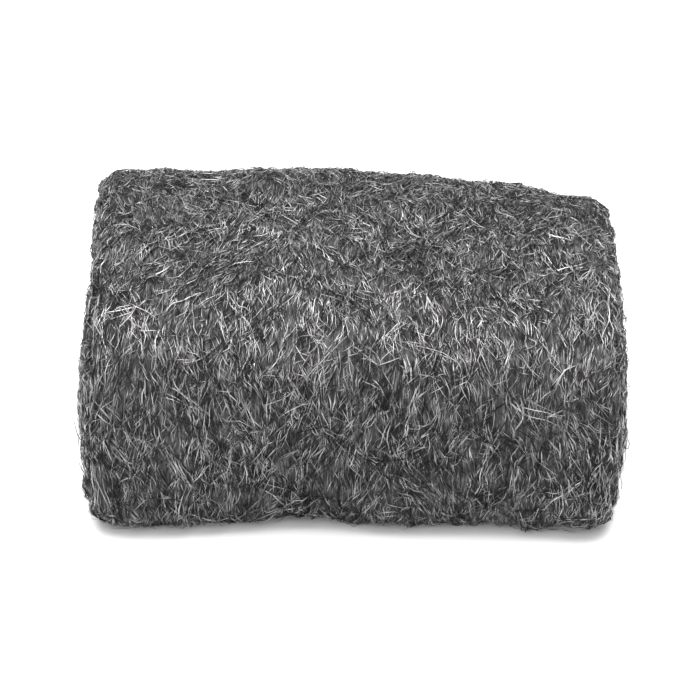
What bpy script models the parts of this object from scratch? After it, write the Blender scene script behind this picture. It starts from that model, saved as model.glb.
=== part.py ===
"""Steel wool hand pad: one ribbon of fine steel wool wound round an axis along X and pressed flat.

Metres, +Z up. The pad lies on its broad side, with the middle of its footprint at the origin and the
edges of the ribbon showing as a flattened spiral at its two ends. Run it with
blender --background --python part.py, or from the text editor.
"""

import bmesh
import bpy
import numpy as np

# Driving dimensions, in metres
LENGTH = 0.1005  # along X, from end to end: the width of the ribbon
DEPTH = 0.0840  # along Y
THICKNESS = 0.0420  # along Z, at the thickest place
TURNS = 5  # layers from the rim to the middle of the roll

# The section: a superellipse, squarer below than above, with a flat spot that it rests on
TOP_SQUARENESS = 3.1
BASE_SQUARENESS = 5.2
BASE_PRESSED = 0.0007  # how much of the underside the weight has pressed flat
CORE_HALF_WIDTH = (DEPTH - THICKNESS) / 2  # half of the fold line that the ribbon is wound round
TAIL_ANGLE = np.radians(-24.0)  # where the ribbon's outer end lies: low on the back
TAIL_STEP = 0.0011  # height of the lap at that end

# The flat spot: four-cornered, with its sides drawn in a little, and the base curls up round it
FLAT_HALF_LENGTH = 0.0395
FLAT_HALF_DEPTH = 0.0265
FLAT_WAIST = 0.90  # how far out the middle of each side lies, as a share of the corners
BASE_CURL = 0.0007  # how far the base rises round the flat spot
CURL_REACH = 0.18  # how soon the curl is complete, as a share of the flat spot's size

# The two ends
RIM_RADIUS = 0.0048
END_BULGE = 0.0016  # how far the middle of an end stands proud of its rim
CORE_SHARE = 0.05  # the innermost ring's size, as a share of the section
FURROW_DEPTH = 0.0009  # between two turns
FURROW_WIDTH = 0.2  # as a share of one turn
FURROW_FADE = 0.3  # where it dies out at the ribbon's outer end, as a share of one turn

# How handling has bent it
LEAN = 0.0009  # each end leans to -X at the back and to +X at the front
LEFT_CORNER_SPREAD = 0.0032  # the back corner at -X spreads by this
BACK_SLUMP = 0.0050  # how much lower the back corner at +X lies
SLUMP_FROM = 0.0100  # place along X where that slump begins
END_TAPER = 0.030  # share by which the section shrinks towards the ends
FRONT_HOLLOWS = ((-0.0100, 0.0026), (0.0230, 0.0014))  # place along X and depth, at the front's foot
HOLLOW_REACH = 0.0150
LUMP_HEIGHT = 0.0005
LUMPS = ((118.0, 45.0, 1.3, 1.0), (205.0, -172.0, 2.1, 0.6))  # waves per 2 pi m in X and Y, phase, weight

# Mesh density
AROUND = 60
ALONG = 17
RIM_STEPS = 4
END_RINGS = 18
DENSE = 2400  # samples from which the evenly spaced outline is read


def clear_scene():
    for thing in list(bpy.data.objects):
        bpy.data.objects.remove(thing, do_unlink=True)


def power(value, exponent):
    """A power that keeps the sign of its base."""
    return np.sign(value) * np.abs(value) ** exponent


def smooth_step(value, low, high):
    share = np.clip((value - low) / (high - low), 0.0, 1.0)
    return share * share * (3.0 - 2.0 * share)


def outline():
    """The section as AROUND evenly spaced points (y, z), starting at the ribbon's outer end."""
    angle = TAIL_ANGLE + np.linspace(0.0, 2.0 * np.pi, DENSE)
    squareness = np.where(np.sin(angle) > 0.0, TOP_SQUARENESS, BASE_SQUARENESS)
    half_height = THICKNESS / 2 + np.where(np.sin(angle) > 0.0, 0.0, BASE_PRESSED)
    y = DEPTH / 2 * power(np.cos(angle), 2.0 / squareness)
    z = THICKNESS / 2 + half_height * power(np.sin(angle), 2.0 / squareness)
    travelled = np.concatenate([[0.0], np.cumsum(np.hypot(np.diff(y), np.diff(z)))])
    wanted = travelled[-1] * (np.arange(AROUND) + 0.5) / AROUND
    return np.interp(wanted, travelled, y), np.interp(wanted, travelled, z)


def end_profile():
    """The way from the side to the middle of an end: ring sizes, as shares of the section, and places."""
    half = THICKNESS / 2
    turn = np.linspace(0.0, np.pi / 2, RIM_STEPS + 1)
    rim_share = 1.0 - RIM_RADIUS / half * (1.0 - np.cos(turn))
    rim_x = LENGTH / 2 - END_BULGE - RIM_RADIUS * (1.0 - np.sin(turn))
    flat = rim_share[-1]
    share = np.linspace(flat, CORE_SHARE, END_RINGS + 1)[1:]
    bulge_x = LENGTH / 2 - END_BULGE * (share / flat) ** 2
    return np.concatenate([rim_share, share]), np.concatenate([rim_x, bulge_x])


def furrows(share, around):
    """Depth of the spiral furrow where the ribbon's turns meet, at a ring share and a place around it."""
    turn = (1.0 - share) * TURNS - around
    off = np.abs(turn - np.round(turn)) / FURROW_WIDTH
    wound = smooth_step(turn, -FURROW_FADE, 0.0) * smooth_step(share, CORE_SHARE, 3 * CORE_SHARE)
    on_end = smooth_step(share, 1.0, 1.0 - RIM_RADIUS / THICKNESS)
    return FURROW_DEPTH * np.exp(-off * off) * wound * on_end


def rings():
    """The whole surface as a grid of points: one row for each ring from the -X end to the +X end."""
    share, reach = end_profile()
    side = np.linspace(-1.0, 1.0, ALONG + 2)[1:-1] * reach[0]
    shares = np.concatenate([share[::-1], np.ones(ALONG), share])[:, None]
    x = np.concatenate([-reach[::-1], side, reach])[:, None]
    around = ((np.arange(AROUND) + 0.5) / AROUND)[None, :]
    x = x - np.sign(x) * furrows(shares, around)
    y, z = (line[None, :] for line in outline())
    core = np.clip(y, -CORE_HALF_WIDTH, CORE_HALF_WIDTH)
    swell = shares * (1.0 + TAIL_STEP * (0.5 - around) / (THICKNESS / 2))
    return np.stack(
        [x + 0.0 * y, core + (y - core) * swell, THICKNESS / 2 + (z - THICKNESS / 2) * swell], axis=2
    )


def handled(points):
    """The same points after use has leaned, slumped and dented the roll."""
    x, y, z = points[..., 0], points[..., 1], points[..., 2]
    height = z / THICKNESS
    tapered = 1.0 - END_TAPER * (2.0 * x / LENGTH) ** 4
    y, z = y * tapered, THICKNESS / 2 + (z - THICKNESS / 2) * tapered
    for in_x, in_y, phase, weight in LUMPS:
        lump = weight * np.sin(in_x * x + in_y * y + phase)
        z = z + LUMP_HEIGHT * lump * smooth_step(height, 0.5, 1.0)
    slump = smooth_step(x, SLUMP_FROM, LENGTH / 2) * smooth_step(y, -0.012, DEPTH / 2)
    z = z - BACK_SLUMP * slump * smooth_step(height, 0.25, 1.0)
    foot = smooth_step(-y, 0.0, DEPTH / 2) * (1.0 - smooth_step(height, 0.0, 0.8))
    for place, depth in FRONT_HOLLOWS:
        y = y + depth * np.exp(-(((x - place) / HOLLOW_REACH) ** 2)) * foot
    spread = smooth_step(-x, 0.0, LENGTH / 2) * smooth_step(y, 0.0, DEPTH / 2)
    x = x - LEAN * 2.0 * y / DEPTH - LEFT_CORNER_SPREAD * spread
    return np.stack([x, y, pressed(x, y, z)], axis=2)


def pressed(x, y, z):
    """The height of each point once the base has settled on its flat spot."""
    along, across = x / FLAT_HALF_LENGTH, y / FLAT_HALF_DEPTH
    waist_of_sides = FLAT_WAIST + (1.0 - FLAT_WAIST) * np.minimum(np.abs(along), 1.0) ** 2
    waist_of_ends = FLAT_WAIST + (1.0 - FLAT_WAIST) * np.minimum(np.abs(across), 1.0) ** 2
    beyond = np.maximum(np.abs(across) / waist_of_sides, np.abs(along) / waist_of_ends) - 1.0
    curl = BASE_CURL * smooth_step(beyond, 0.0, CURL_REACH)
    return np.maximum(z, 0.0) + curl * (1.0 - smooth_step(z / THICKNESS, 0.0, 0.3))


def centred(points):
    """Moves the middle of the footprint to the origin."""
    low, high = points.min(axis=(0, 1)), points.max(axis=(0, 1))
    return points - np.array([(low[0] + high[0]) / 2, (low[1] + high[1]) / 2, low[2]])


def make_pad():
    grid = centred(handled(rings()))
    shell = bmesh.new()
    loops = [[shell.verts.new(point) for point in ring] for ring in grid.tolist()]
    for ring, following in zip(loops, loops[1:]):
        for i in range(AROUND):
            j = (i + 1) % AROUND
            shell.faces.new((ring[i], ring[j], following[j], following[i]))
    shell.faces.new(loops[0])
    shell.faces.new(loops[-1])
    bmesh.ops.recalc_face_normals(shell, faces=shell.faces)
    bmesh.ops.triangulate(shell, faces=shell.faces)
    mesh = bpy.data.meshes.new("steel_wool_pad")
    shell.to_mesh(mesh)
    shell.free()
    mesh.shade_smooth()
    pad = bpy.data.objects.new("steel_wool_pad", mesh)
    bpy.context.scene.collection.objects.link(pad)
    return pad


def steel_wool():
    material = bpy.data.materials.new("steel_wool")
    material.use_nodes = True
    shader = material.node_tree.nodes["Principled BSDF"]
    shader.inputs["Base Color"].default_value = (0.16, 0.16, 0.16, 1.0)
    shader.inputs["Metallic"].default_value = 0.8
    shader.inputs["Roughness"].default_value = 0.55
    return material


clear_scene()
make_pad().data.materials.append(steel_wool())
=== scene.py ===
import math

import bpy
import numpy as np
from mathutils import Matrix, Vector


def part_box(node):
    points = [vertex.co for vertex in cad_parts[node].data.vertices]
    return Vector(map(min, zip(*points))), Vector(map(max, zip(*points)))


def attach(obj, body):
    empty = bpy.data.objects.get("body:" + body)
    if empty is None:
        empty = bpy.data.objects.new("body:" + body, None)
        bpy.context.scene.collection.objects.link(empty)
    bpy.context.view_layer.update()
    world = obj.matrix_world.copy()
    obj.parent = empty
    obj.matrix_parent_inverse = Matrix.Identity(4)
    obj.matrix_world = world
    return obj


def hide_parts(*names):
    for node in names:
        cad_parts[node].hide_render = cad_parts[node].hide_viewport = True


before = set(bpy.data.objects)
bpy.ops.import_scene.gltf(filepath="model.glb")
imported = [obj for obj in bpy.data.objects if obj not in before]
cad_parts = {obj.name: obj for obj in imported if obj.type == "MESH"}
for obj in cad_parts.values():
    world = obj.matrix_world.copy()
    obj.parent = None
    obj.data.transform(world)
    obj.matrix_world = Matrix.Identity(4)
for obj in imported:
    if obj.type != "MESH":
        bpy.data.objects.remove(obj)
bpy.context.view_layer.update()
padLow, padHigh = (np.array(corner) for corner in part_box("steel_wool_pad"))
padMiddle = (padLow + padHigh) / 2
bakeMap = "OFBake"  # the export bakes through a UV map of this name
steelTint = (1.012, 0.996, 1.0)  # steel is a neutral grey with a trace of warmth

# The pressed roll, in metres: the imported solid's own shape, carried to finer detail. Ring shares run from
# 1 at the rim of an end to 0 at its fold line, and heights are shares of the thickness.
roll = {
    "length": 0.0993,  # along X, the ribbon's width, less what the loose wool adds
    "depth": 0.0834,  # along Y, less what the loose wool adds
    "thickness": 0.0410,  # along Z, less what the loose wool adds
    "turns": 5,  # layers from the rim to the middle
    "topSquareness": 3.1,
    "baseSquareness": 8.0,  # squarer than the solid: loose wool hangs down to the floor
    "basePressed": 0.0007,  # how much of the underside the weight has pressed flat
    "tailAngle": math.radians(-24.0),  # where the ribbon's outer end lies, low on the back
    "tailStep": 0.0011,  # height of the lap at that end
    "rimRadius": 0.0048,
    "endBulge": 0.0016,  # how far the middle of an end stands proud of its rim
    "coreShare": 0.010,  # ring share of the innermost ring
    "furrowDepth": 0.0012,  # between two turns
    "furrowWidth": 0.16,  # in turns
    "furrowStart": -0.3,  # where it begins to form at the ribbon's outer end, in turns
    "furrowInside": 0.15,  # ring share where it begins to die out towards the fold line
    "furrowRim": 0.9,  # ring share where it begins to die out towards the side
    "foldSink": 0.0014,  # how deep the fold line lies that the ribbon is wound round
    "foldReach": 0.09,  # ring share where the end is level again
    "foldWave": 0.0011,  # how far the fold line strays up and down
    "foldWaves": ((210.0, 0.0, 1.1, 1.0), (477.0, 2.6, 0.0, 0.6)),  # pace, phase, turn by end, weight
    "waveReach": 0.5,  # ring share where the turns run even again
    "lean": 0.0009,  # each end leans to -X at the back and to +X at the front
    "cornerSpread": 0.0032,  # the back corner at -X
    "footSpread": 0.0028,  # loose wool at the foot of the front corner at -X, beyond the solid
    "footBelow": 0.8,  # height under which the foot's hollows and spread begin
    "backSlump": 0.0050,  # how much lower the back corner at +X lies
    "slumpFrom": 0.0100,  # place along X where that slump begins
    "slumpBehind": -0.012,  # and along Y
    "slumpAbove": 0.25,  # and its height
    "endTaper": 0.030,  # share by which the section shrinks towards the ends
    "frontHollows": ((-0.0100, 0.0026), (0.0230, 0.0014)),  # place along X and depth
    "hollowReach": 0.0150,
    "lumpHeight": 0.0005,
    "lumps": ((118.0, 45.0, 1.3, 1.0), (205.0, -172.0, 2.1, 0.6)),  # pace in X and Y, phase, weight
    "lumpsAbove": 0.5,
}
samples = {"outline": 6001, "rim": 60, "end": 200, "middle": 400}  # points in the tables of the shape
nudge = 2e-4  # step for slopes, as a share of the girth and in metres


def signedPower(value, exponent):
    # the power of the size, with the sign kept
    return np.sign(value) * np.abs(value) ** exponent


def smoothStep(value, low, high):
    # 0 at low, 1 at high, level at both: t * t * (3 - 2 t)
    share = np.clip((value - low) / (high - low), 0.0, 1.0)
    return share * share * (3.0 - 2.0 * share)


def waves(seed, size, count=28, shortest=0.7, longest=1.6):
    # a smooth random field: the mean of cosines whose wave lengths lie round size, about 0 +- 1
    draw = np.random.default_rng(seed)
    heading = draw.normal(size=(count, 3))
    heading /= np.linalg.norm(heading, axis=1)[:, None]
    number = 2.0 * np.pi / (size * draw.uniform(shortest, longest, count))
    phase = draw.uniform(0.0, 2.0 * np.pi, count)

    def field(points):
        flat = points.reshape(-1, 3) @ (heading * number[:, None]).T + phase
        return (np.cos(flat).sum(axis=1) * math.sqrt(2.0 / count)).reshape(points.shape[:-1])

    return field


def outlineTable():
    # the section as a squared ellipse, read at even steps of its own length: (share of the way, y, z)
    angle = roll["tailAngle"] + np.linspace(0.0, 2.0 * np.pi, samples["outline"])
    above = np.sin(angle) > 0.0
    squareness = np.where(above, roll["topSquareness"], roll["baseSquareness"])
    half = roll["thickness"] / 2 + np.where(above, 0.0, roll["basePressed"])
    y = roll["depth"] / 2 * signedPower(np.cos(angle), 2.0 / squareness)
    z = roll["thickness"] / 2 + half * signedPower(np.sin(angle), 2.0 / squareness)
    travelled = np.concatenate([[0.0], np.cumsum(np.hypot(np.diff(y), np.diff(z)))])
    return travelled / travelled[-1], y, z, travelled[-1]


def profileTable():
    # from the middle of the side over a quarter-round rim to the middle of an end: (way, ring share, x)
    half, rim = roll["thickness"] / 2, roll["rimRadius"]
    turn = np.linspace(0.0, np.pi / 2, samples["rim"])
    rimShare = 1.0 - rim / half * (1.0 - np.cos(turn))
    rimX = roll["length"] / 2 - roll["endBulge"] - rim * (1.0 - np.sin(turn))
    share = np.linspace(rimShare[-1], roll["coreShare"], samples["end"])[1:]
    bulgeX = roll["length"] / 2 - roll["endBulge"] * (share / rimShare[-1]) ** 2
    shares = np.concatenate([[1.0], rimShare, share])
    x = np.concatenate([[0.0], rimX, bulgeX])
    way = np.concatenate([[0.0], np.cumsum(np.hypot(np.diff(shares) * half, np.diff(x)))])
    return way, shares, x


outlineWay, outlineY, outlineZ, girth = outlineTable()
profileWay, profileShare, profileX = profileTable()
profileEnd = profileWay[-1]


def handled(points):
    # the roll after use: each bend, lump or hollow adds its size times smooth steps of the place.
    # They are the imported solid's own, and the front corner at -X spreads at its foot besides.
    x, y, z = points[..., 0], points[..., 1], points[..., 2]
    height = z / roll["thickness"]
    tapered = 1.0 - roll["endTaper"] * (2.0 * x / roll["length"]) ** 4
    y, z = y * tapered, roll["thickness"] / 2 + (z - roll["thickness"] / 2) * tapered
    for inX, inY, phase, weight in roll["lumps"]:
        lump = weight * np.sin(inX * x + inY * y + phase)
        z = z + roll["lumpHeight"] * lump * smoothStep(height, roll["lumpsAbove"], 1.0)
    toRight = smoothStep(x, roll["slumpFrom"], roll["length"] / 2)
    toBack = smoothStep(y, roll["slumpBehind"], roll["depth"] / 2)
    slump = toRight * toBack
    z = z - roll["backSlump"] * slump * smoothStep(height, roll["slumpAbove"], 1.0)
    foot = smoothStep(-y, 0.0, roll["depth"] / 2) * (1.0 - smoothStep(height, 0.0, roll["footBelow"]))
    for place, depth in roll["frontHollows"]:
        y = y + depth * np.exp(-(((x - place) / roll["hollowReach"]) ** 2)) * foot
    y = y - roll["footSpread"] * smoothStep(-x, 0.0, roll["length"] / 2) * foot
    spread = smoothStep(-x, 0.0, roll["length"] / 2) * smoothStep(y, 0.0, roll["depth"] / 2)
    x = x - roll["lean"] * 2.0 * y / roll["depth"] - roll["cornerSpread"] * spread
    return np.stack([x, y, np.maximum(z, 0.0)], axis=-1)


def furrow(share, around):
    # depth of the spiral furrow between two turns: a bell curve across the nearest whole turn
    turn = (1.0 - share) * roll["turns"] - around
    off = np.abs(turn - np.round(turn)) / roll["furrowWidth"]
    wound = smoothStep(turn, roll["furrowStart"], 0.0)
    wound = wound * smoothStep(share, roll["coreShare"], roll["furrowInside"])
    return roll["furrowDepth"] * np.exp(-off * off) * wound * smoothStep(share, 1.0, roll["furrowRim"])


def rawSurface(around, along):
    # the section, shrunk round its fold line by the ring share, at its place along X, then handled;
    # around: share of the girth from the tail; along: way from the middle of the side, signed by end
    share = np.interp(np.abs(along), profileWay, profileShare)
    end = np.sign(along)
    x = end * np.interp(np.abs(along), profileWay, profileX)
    turn = around % 1.0
    y, z = np.interp(turn, outlineWay, outlineY), np.interp(turn, outlineWay, outlineZ)
    x = x - end * furrow(share, turn)
    coreHalf = (roll["depth"] - roll["thickness"]) / 2
    core = np.clip(y, -coreHalf, coreHalf)
    swell = share * (1.0 + roll["tailStep"] * (0.5 - turn) / (roll["thickness"] / 2))
    middle = roll["thickness"] / 2
    stray = sum(
        weight * np.sin(pace * core + phase + byEnd * end)
        for pace, phase, byEnd, weight in roll["foldWaves"]
    )
    x = x - end * roll["foldSink"] * (1.0 - smoothStep(share, roll["coreShare"], roll["foldReach"]))
    z = middle + (z - middle) * swell
    z = z + roll["foldWave"] * (1.0 - smoothStep(share, 0.0, roll["waveReach"])) * stray
    return handled(np.stack([x, core + (y - core) * swell, z], axis=-1))


def centreOffset():
    # what brings the raw shape's middle along X, and its back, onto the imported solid's
    count = samples["middle"]
    turn, way = np.meshgrid(np.linspace(0, 1, count), np.linspace(-profileEnd, profileEnd, count))
    points = rawSurface(turn, way).reshape(-1, 3)
    low, high = points.min(axis=0), points.max(axis=0)
    return np.array([padMiddle[0] - (low[0] + high[0]) / 2, padHigh[1] - high[1], 0.0])


offset = centreOffset()


def padSurface(around, along):
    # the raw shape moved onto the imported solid
    return rawSurface(around, along) + offset


def frameAt(around, along):
    # point, unit vector round the roll, unit outward normal, and how far one unit of around goes
    point = padSurface(around, along)
    inAround = (padSurface(around + nudge, along) - padSurface(around - nudge, along)) / (2 * nudge)
    inAlong = padSurface(around, along + nudge) - padSurface(around, along - nudge)
    speed = np.linalg.norm(inAround, axis=-1)
    normal = np.cross(inAround, inAlong)
    normal /= np.maximum(np.linalg.norm(normal, axis=-1), 1e-12)[..., None]
    return point, inAround / np.maximum(speed, 1e-9)[..., None], normal, np.maximum(speed, 1e-3)


def newMesh(name, points, faces, mapPlaces, material):
    # a mesh object from whole arrays: points, face arrays, and for each of those its corners' map places
    mesh = bpy.data.meshes.new(name)
    corners = np.concatenate([f.ravel() for f in faces]).astype(np.int32)
    counts = np.concatenate([np.full(len(f), f.shape[1], np.int32) for f in faces])
    starts = np.concatenate([[0], np.cumsum(counts)[:-1]]).astype(np.int32)
    places = np.concatenate([p.reshape(-1, 2) for p in mapPlaces]).astype(np.float32)
    mesh.vertices.add(len(points))
    mesh.vertices.foreach_set("co", points.astype(np.float32).ravel())
    mesh.loops.add(len(corners))
    mesh.loops.foreach_set("vertex_index", corners)
    mesh.polygons.add(len(counts))
    mesh.polygons.foreach_set("loop_start", starts)
    mesh.polygons.foreach_set("loop_total", counts)
    mesh.polygons.foreach_set("use_smooth", np.ones(len(counts), bool))
    mesh.uv_layers.new(name=bakeMap).uv.foreach_set("vector", places.ravel())
    mesh.update(calc_edges=True)
    mesh.validate()
    mesh.materials.append(material)
    piece = bpy.data.objects.new(name, mesh)
    bpy.context.scene.collection.objects.link(piece)
    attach(piece, "root")
    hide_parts("steel_wool_pad")
    return piece


def metal(name, metallic):
    # a new metal material, with its tree, its shader and the node that reads the piece's own map
    material = bpy.data.materials.new(name)
    material.use_nodes = True
    tree = material.node_tree
    shader = tree.nodes["Principled BSDF"]
    shader.inputs["Metallic"].default_value = metallic
    place = tree.nodes.new("ShaderNodeUVMap")
    place.uv_map = bakeMap
    return material, tree, shader, place


def steelGrey(tree, source, shader, greys):
    # colour: the grey that the source's value has on a line through (value, grey) stops, times the tint
    ramp = tree.nodes.new("ShaderNodeValToRGB")
    while len(ramp.color_ramp.elements) < len(greys):
        ramp.color_ramp.elements.new(0.5)
    for element, (at, grey) in zip(ramp.color_ramp.elements, greys):
        element.position = at
        element.color = (*(grey * share for share in steelTint), 1.0)
    tree.links.new(source, ramp.inputs["Fac"])
    tree.links.new(ramp.outputs["Color"], shader.inputs["Base Color"])


def polish(tree, source, shader, dull, bright):
    # roughness falls in a straight line from dull to bright as the source goes from 0 to 1
    scale = tree.nodes.new("ShaderNodeMapRange")
    scale.inputs["To Min"].default_value = dull
    scale.inputs["To Max"].default_value = bright
    tree.links.new(source, scale.inputs["Value"])
    tree.links.new(scale.outputs["Result"], shader.inputs["Roughness"])


# The relief of the wool, in metres: (seed, size of a lump, height)
relief = ((11, 0.0120, 0.00018), (12, 0.0050, 0.00013), (13, 0.0022, 0.00009))
reliefFields = [(waves(seed, size), height) for seed, size, height in relief]


def reliefAt(point):
    # height of the uneven wool over the even roll: the sum of smooth fields of three sizes
    return sum(height * field(point) for field, height in reliefFields)


mattedBed = {
    "around": 270,  # columns
    "along": 160,  # rows
    "sunk": 0.00040,  # under the strands
    "clearance": 0.00005,  # least height over the floor
    "fill": 0.7,  # from slack at 0 to tight at 1
    "metallic": 0.5,
    "streaks": (56.0, 270.0, 1.0),  # how many round the roll, and from end to end
    "detail": 4.0,
    "distortion": 1.4,
    # kept dark: painted shade in the gaps between the strands
    "greys": ((0.36, 0.010), (0.52, 0.045), (0.72, 0.20)),
    "dull": 0.80,  # roughness of the darkest wool
    "bright": 0.40,  # and of the brightest
    "bump": 0.7,
    "bumpDepth": 0.0004,
}


def mattedWool():
    # the matted wool under the strands: fine streaks, long round the roll and narrow across it, in dark
    # greys that paint the shade in the gaps between the strands
    material, tree, shader, place = metal("matted_wool", mattedBed["metallic"])
    stretch = tree.nodes.new("ShaderNodeMapping")
    stretch.inputs["Scale"].default_value = mattedBed["streaks"]
    tree.links.new(place.outputs["UV"], stretch.inputs["Vector"])
    noise = tree.nodes.new("ShaderNodeTexNoise")
    noise.inputs["Scale"].default_value = 1.0
    noise.inputs["Detail"].default_value = mattedBed["detail"]
    noise.inputs["Distortion"].default_value = mattedBed["distortion"]
    tree.links.new(stretch.outputs["Vector"], noise.inputs["Vector"])
    steelGrey(tree, noise.outputs["Fac"], shader, mattedBed["greys"])
    polish(tree, noise.outputs["Fac"], shader, mattedBed["dull"], mattedBed["bright"])
    bump = tree.nodes.new("ShaderNodeBump")
    bump.inputs["Strength"].default_value = mattedBed["bump"]
    bump.inputs["Distance"].default_value = mattedBed["bumpDepth"]
    tree.links.new(noise.outputs["Fac"], bump.inputs["Height"])
    tree.links.new(bump.outputs["Normal"], shader.inputs["Normal"])
    return material


def makeBed():
    # a grid of rings, each ring a share of the section, sunk a little under the strands
    columns, rows = mattedBed["around"], mattedBed["along"]
    around, along = np.meshgrid(np.arange(columns) / columns, np.linspace(-profileEnd, profileEnd, rows))
    point, _, normal, _ = frameAt(around, along)
    point = point + normal * (reliefAt(point) - mattedBed["sunk"])[..., None]
    point[..., 2] = np.maximum(point[..., 2], padLow[2] + mattedBed["clearance"])
    index = np.arange(rows * columns).reshape(rows, columns)
    after = np.roll(index, -1, axis=1)
    sides = np.stack([index[:-1], after[:-1], after[1:], index[1:]], axis=-1).reshape(-1, 4)
    row, column = (grid.ravel() for grid in np.mgrid[0 : rows - 1, 0:columns])
    u = np.stack([column, column + 1, column + 1, column], axis=-1) / columns
    v = np.stack([row, row, row + 1, row + 1], axis=-1) / (rows - 1)
    faces, places = [sides], [np.stack([u, v], axis=-1)]
    # each end is closed by a strip between the two halves of its innermost ring
    i = np.arange(columns // 2 - 1)
    zipped = np.stack([i, i + 1, columns - 2 - i, columns - 1 - i], axis=-1)
    for ring, level, order in ((index[0], 0.0, -1), (index[-1], 1.0, 1)):
        corners = zipped[:, ::order]
        faces.append(ring[corners])
        places.append(np.stack([corners / columns, np.full(corners.shape, level)], axis=-1))
    piece = newMesh("matted_bed", point.reshape(-1, 3), faces, places, mattedWool())
    return piece


# What all strands share. A shade is a place on the greys, from 0 for dark to 1 for bright.
strands = {
    "sides": 3,  # of a tube
    "steps": 6,  # along it
    "swirlSize": 0.0075,
    "swirl": 15.0,  # degrees
    "driftSize": 0.035,
    "drift": 8.0,  # degrees
    "patchSize": 0.0060,
    "patches": 0.03,  # shade of brighter and darker patches
    "combed": 0.45,  # how much straighter the wool lies on the broad faces
    "tries": 8,  # for each tuft that is kept
    "bareBelow": (-0.7, 0.002, 0.25),  # slope and height of the hidden underside, share kept there
    "lengthSpread": 0.2,
    "shades": (3.0, 4.6),  # how tufts spread from dark to bright, as a beta draw
    "lift": 0.03,  # shade added to all
    "paintedGlareShade": 0.25,  # painted shade: colour taken from wool that lies across the roll's lay, to damp the glare it catches from the lamps
    "ownHeading": 6.0,  # degrees by which a strand leaves its tuft
    "ownShade": 0.05,
    "lifted": (0.2, 1.0),  # least and greatest share of the hump and rise that a strand has
    "foldMargin": 0.0022,  # how near the fold line the strands may come
    "paces": (0.9, 1.9),  # waves along a strand
    "wobble": 12.0,  # degrees from side to side
    "paintedGlint": 0.42,  # painted highlights: how much the shade changes along a strand, brighter where it would catch the light
    "shadeLimits": (0.01, 0.97),
    "taperAt": (0.0, 0.25, 0.75, 1.0),
    "taper": (0.35, 1.0, 1.0, 0.3),
    "radiusSpread": 0.28,
    "clearance": 0.00001,  # least height over the floor
    "mapStep": 0.006,  # from one side of a tube to the next
    "mapMargin": 0.02,
    "metallic": 0.8,
    "greys": ((0.0, 0.010), (0.34, 0.056), (0.60, 0.265), (1.0, 0.62)),
    "dull": 0.52,  # roughness at shade 0
    "bright": 0.28,  # and at shade 1
}
swirlField = waves(21, strands["swirlSize"])
driftField = waves(22, strands["driftSize"])
patchField = waves(23, strands["patchSize"])


def steelStrand():
    # U of the map is a strand's shade and V runs along it: colour and polish follow U alone
    material, tree, shader, place = metal("steel_strand", strands["metallic"])
    parts = tree.nodes.new("ShaderNodeSeparateXYZ")
    tree.links.new(place.outputs["UV"], parts.inputs[0])
    steelGrey(tree, parts.outputs["X"], shader, strands["greys"])
    polish(tree, parts.outputs["X"], shader, strands["dull"], strands["bright"])
    return material


strandSteel = steelStrand()


def lieOfWool(point):
    # the angle off the way round the roll, in radians: swirls of about 10 mm on a slower drift
    swirl = math.radians(strands["swirl"]) * swirlField(point)
    return swirl + math.radians(strands["drift"]) * driftField(point)


def tuftStarts(draw, count):
    # places spread evenly over the area: many tries, kept by how far one unit of around goes there
    tries = count * strands["tries"]
    around = draw.uniform(0.0, 1.0, tries)
    along = draw.uniform(-profileEnd, profileEnd, tries)
    point, _, normal, speed = frameAt(around, along)
    slope, height, share = strands["bareBelow"]
    below = (normal[:, 2] < slope) & (point[:, 2] < padLow[2] + height)
    keep = np.flatnonzero(draw.uniform(0.0, 1.0, tries) < speed / girth * np.where(below, share, 1.0))
    keep = keep[:count]
    return around[keep], along[keep], point[keep], normal[keep]


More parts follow.
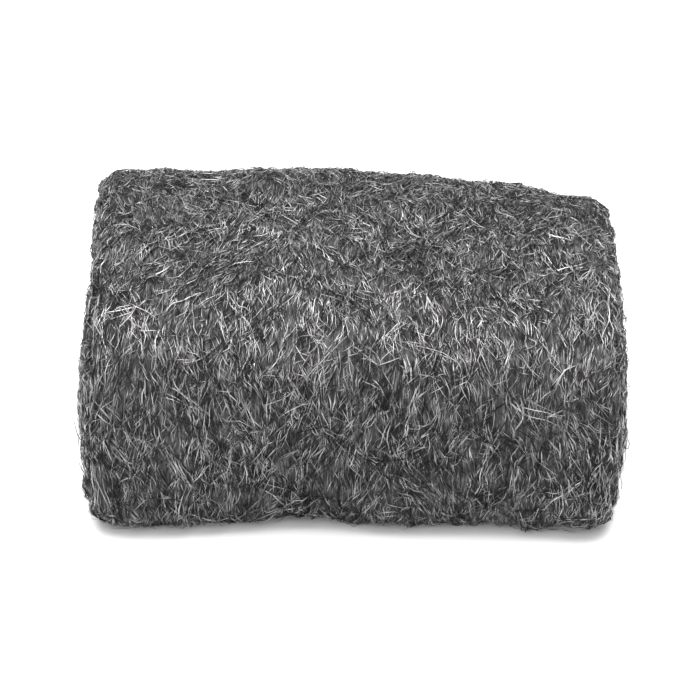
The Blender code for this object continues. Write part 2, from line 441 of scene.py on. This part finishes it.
def strandPaths(draw, kind):
    # every tuft has a heading, a length and a bend; its strands walk over the surface side by side
    around, along, point, normal = tuftStarts(draw, kind["tufts"])
    tufts, each = len(around), kind["perTuft"]
    combed = 1.0 - strands["combed"] * normal[:, 2] ** 2
    heading = combed * (lieOfWool(point) + draw.normal(0.0, math.radians(kind["spread"]), tufts))
    heading = heading + np.where(draw.uniform(size=tufts) < 0.5, 0.0, np.pi)
    long = kind["length"] * draw.lognormal(0.0, strands["lengthSpread"], tufts)
    bend = draw.normal(0.0, math.radians(kind["curl"]), tufts)
    base = draw.uniform(*kind["height"], tufts)
    shade = draw.beta(*strands["shades"], tufts) + strands["patches"] * patchField(point)
    shade = shade + kind["brighter"]
    # painted shade: wool lying across the roll's lay is darkened where the lamps would make it glare
    shade = shade + strands["lift"] - strands["paintedGlareShade"] * np.sin(heading) ** 2
    around, along, heading, long, bend, base, shade = (
        np.repeat(value, each) for value in (around, along, heading, long, bend, base, shade)
    )
    # each strand starts a little beside and ahead of its tuft's middle
    count = tufts * each
    _, _, _, speed = frameAt(around, along)
    aside, ahead = draw.normal(0.0, kind["tuftWidth"], count), draw.normal(0.0, kind["tuftSlip"], count)
    around = around + (ahead * np.cos(heading) - aside * np.sin(heading)) / speed
    along = along + ahead * np.sin(heading) + aside * np.cos(heading)
    heading = heading + draw.normal(0.0, math.radians(strands["ownHeading"]), count)
    shade = shade + draw.normal(0.0, strands["ownShade"], count)
    hump = draw.uniform(*strands["lifted"], count) * kind["hump"]
    rise = draw.uniform(*strands["lifted"], count) * kind["rise"]
    inmost = profileEnd - draw.uniform(0.0, strands["foldMargin"], count)
    # two slow waves along each strand: in and out of the wool, and from side to side
    pace, phase = draw.uniform(*strands["paces"], (2, count)), draw.uniform(0.0, 2 * np.pi, (2, count))
    # painted glints: the strands of a tuft are painted brighter and darker at the same places, as if they
    # catch the light there
    steps, path, out, shades = strands["steps"], [], [], []
    paintedGlint = np.repeat(draw.normal(0.0, strands["paintedGlint"], (steps + 1, tufts)), each, axis=1)
    for j in range(steps + 1):
        t = j / steps
        weave, wobble = np.sin(2 * np.pi * t * pace + phase)
        point, _, normal, speed = frameAt(around, along)
        height = base + hump * np.sin(np.pi * t) + rise * t * t + kind["weave"] * weave + reliefAt(point)
        path.append(point + normal * height[:, None])
        out.append(normal)
        shades.append(np.clip(shade + paintedGlint[j], *strands["shadeLimits"]))
        toward = heading + math.radians(strands["wobble"]) * wobble
        around = around + long / steps * np.cos(toward) / speed
        along = np.clip(along + long / steps * np.sin(toward), -inmost, inmost)
        heading = heading + bend + draw.normal(0.0, math.radians(kind["curl"]), count)
    return np.stack(path, 1), np.stack(out, 1), np.stack(shades, 1)


def makeStrands(kind):
    # a closed three-sided tube along every path, thin at both ends
    draw = np.random.default_rng(kind["seed"])
    path, out, shade = strandPaths(draw, kind)
    tangent = np.gradient(path, axis=1)
    tangent /= np.maximum(np.linalg.norm(tangent, axis=2), 1e-12)[..., None]
    across = np.cross(tangent, out)
    across /= np.maximum(np.linalg.norm(across, axis=2), 1e-12)[..., None]
    up = np.cross(across, tangent)
    count, rungs = path.shape[:2]
    sides, margin = strands["sides"], strands["mapMargin"]
    taper = np.interp(np.linspace(0, 1, rungs), strands["taperAt"], strands["taper"])
    own = draw.lognormal(0.0, strands["radiusSpread"], count)
    radius = (kind["radius"] * own[:, None] * taper)[..., None]
    turns = np.pi / 2 + np.arange(sides) * 2 * np.pi / sides
    points = np.stack([path + radius * (np.cos(a) * across + np.sin(a) * up) for a in turns], axis=2)
    points[..., 2] = np.maximum(points[..., 2], padLow[2] + strands["clearance"])
    index = np.arange(count * rungs * sides).reshape(count, rungs, sides)
    after = np.roll(index, -1, axis=2)
    walls = np.stack([index[:, :-1], index[:, 1:], after[:, 1:], after[:, :-1]], axis=-1).reshape(-1, 4)
    caps = np.concatenate([index[:, 0], index[:, -1, ::-1]])
    u = shade[:, :, None] + strands["mapStep"] * np.arange(sides)[None, None, :]
    v = margin + (1.0 - 2.0 * margin) * np.linspace(0, 1, rungs)[None, :, None]
    places = np.stack(np.broadcast_arrays(u + 0 * v, v + 0 * u), axis=-1).reshape(-1, 2)
    mapPlaces = [places[walls], places[caps]]
    piece = newMesh(kind["name"], points.reshape(-1, 3), [walls, caps], mapPlaces, strandSteel)
    return piece


# The five layers, from buried to loose: sizes in metres, spread and curl in degrees
innerStrands = {
    "name": "inner_strands", "seed": 31, "fill": 0.3,
    "tufts": 2600, "perTuft": 2, "tuftWidth": 0.00016, "tuftSlip": 0.0010,
    "length": 0.0100, "radius": 0.000085, "spread": 20.0, "curl": 4.0,
    # the buried layer is painted darker: painted shade of the wool lying over it
    "height": (-0.00042, -0.00016), "weave": 0.00012, "hump": 0.0, "rise": 0.0, "brighter": -0.12,
}
outerStrandsA = {
    "name": "outer_strands_a", "seed": 32, "fill": 0.3,
    "tufts": 1740, "perTuft": 3, "tuftWidth": 0.00011, "tuftSlip": 0.0006,
    "length": 0.0094, "radius": 0.000080, "spread": 15.0, "curl": 4.0,
    "height": (-0.00022, 0.00004), "weave": 0.00018, "hump": 0.0, "rise": 0.0, "brighter": 0.0,
}
outerStrandsB = {
    "name": "outer_strands_b", "seed": 33, "fill": 0.3,
    "tufts": 1740, "perTuft": 3, "tuftWidth": 0.00011, "tuftSlip": 0.0006,
    "length": 0.0090, "radius": 0.000078, "spread": 18.0, "curl": 5.0,
    "height": (-0.00020, 0.00008), "weave": 0.00018, "hump": 0.0, "rise": 0.0, "brighter": 0.02,
}
outerStrandsC = {
    "name": "outer_strands_c", "seed": 34, "fill": 0.3,
    "tufts": 2600, "perTuft": 2, "tuftWidth": 0.00010, "tuftSlip": 0.0003,
    "length": 0.0084, "radius": 0.000072, "spread": 22.0, "curl": 6.0,
    "height": (-0.00014, 0.00014), "weave": 0.00016, "hump": 0.0001, "rise": 0.0, "brighter": 0.03,
}
looseStrands = {
    "name": "loose_strands", "seed": 35, "fill": 0.3,
    "tufts": 2200, "perTuft": 1, "tuftWidth": 0.0, "tuftSlip": 0.0,
    "length": 0.0076, "radius": 0.000048, "spread": 34.0, "curl": 9.0,
    "height": (-0.00005, 0.00018), "weave": 0.00012, "hump": 0.0003, "rise": 0.0010, "brighter": -0.08,
}

print("matted bed:", len(makeBed().data.polygons), "faces")
for kind in (innerStrands, outerStrandsA, outerStrandsB, outerStrandsC, looseStrands):
    print(kind["name"] + ":", len(makeStrands(kind).data.polygons), "faces")

studio = {
    "sky": 0.75,
    "overhead": {"place": (-0.05, 0.15, 1.40), "size": 2.0, "power": 53.0},
    "front": {"place": (-0.15, -1.25, 0.85), "size": 1.2, "power": 12.0},
    "aim": (0.0, 0.0, 0.02),
    "floorReach": 6.0,
    "floorGrey": 0.86,
    "floorRoughness": 0.8,
}


def turnedTo(place, aim):
    # the turn that points an object's -Z from its place at the aim, with its Y upwards
    return (Vector(aim) - Vector(place)).to_track_quat("-Z", "Y").to_euler()


def makeFloor():
    # a wide pale square at the height that the pad rests on
    material = bpy.data.materials.new("pale_floor")
    material.use_nodes = True
    shader = material.node_tree.nodes["Principled BSDF"]
    shader.inputs["Base Color"].default_value = (studio["floorGrey"],) * 3 + (1.0,)
    shader.inputs["Roughness"].default_value = studio["floorRoughness"]
    mesh = bpy.data.meshes.new("floor")
    reach = studio["floorReach"]
    corners = [(-reach, -reach, 0), (reach, -reach, 0), (reach, reach, 0), (-reach, reach, 0)]
    mesh.from_pydata(corners, [], [(0, 1, 2, 3)])
    mesh.materials.append(material)
    floor = bpy.data.objects.new("floor", mesh)
    floor.location.z = padLow[2]
    bpy.context.scene.collection.objects.link(floor)


def makeLight():
    # an even white sky and two broad round lamps, overhead and in front
    world = bpy.data.worlds.new("studio")
    world.use_nodes = True
    sky = world.node_tree.nodes["Background"]
    sky.inputs["Color"].default_value = (1.0, 1.0, 1.0, 1.0)
    sky.inputs["Strength"].default_value = studio["sky"]
    bpy.context.scene.world = world
    for name in ("overhead", "front"):
        data = bpy.data.lights.new(name + "_lamp", "AREA")
        data.shape, data.size, data.energy = "DISK", studio[name]["size"], studio[name]["power"]
        lamp = bpy.data.objects.new(name + "_lamp", data)
        lamp.location = studio[name]["place"]
        lamp.rotation_euler = turnedTo(studio[name]["place"], studio["aim"])
        bpy.context.scene.collection.objects.link(lamp)
    bpy.context.scene.view_settings.view_transform = "Standard"


camera = {
    "place": (0.0293, -0.6232, 0.3600), "aim": (0.0, 0.0, 0.0165),
    "lens": 195.0, "sensor": 36.0, "nearest": 0.01, "farthest": 50.0,
}


def makeCamera():
    # a long lens, looking down on the front of the pad from a little to the right
    data = bpy.data.cameras.new("camera")
    data.lens, data.sensor_width = camera["lens"], camera["sensor"]
    data.clip_start, data.clip_end = camera["nearest"], camera["farthest"]
    view = bpy.data.objects.new("camera", data)
    view.location = camera["place"]
    view.rotation_euler = turnedTo(camera["place"], camera["aim"])
    bpy.context.scene.collection.objects.link(view)
    bpy.context.scene.camera = view


makeFloor()
makeLight()
makeCamera()
print("studio: floor, sky,", len(bpy.data.lights), "lamps and camera")
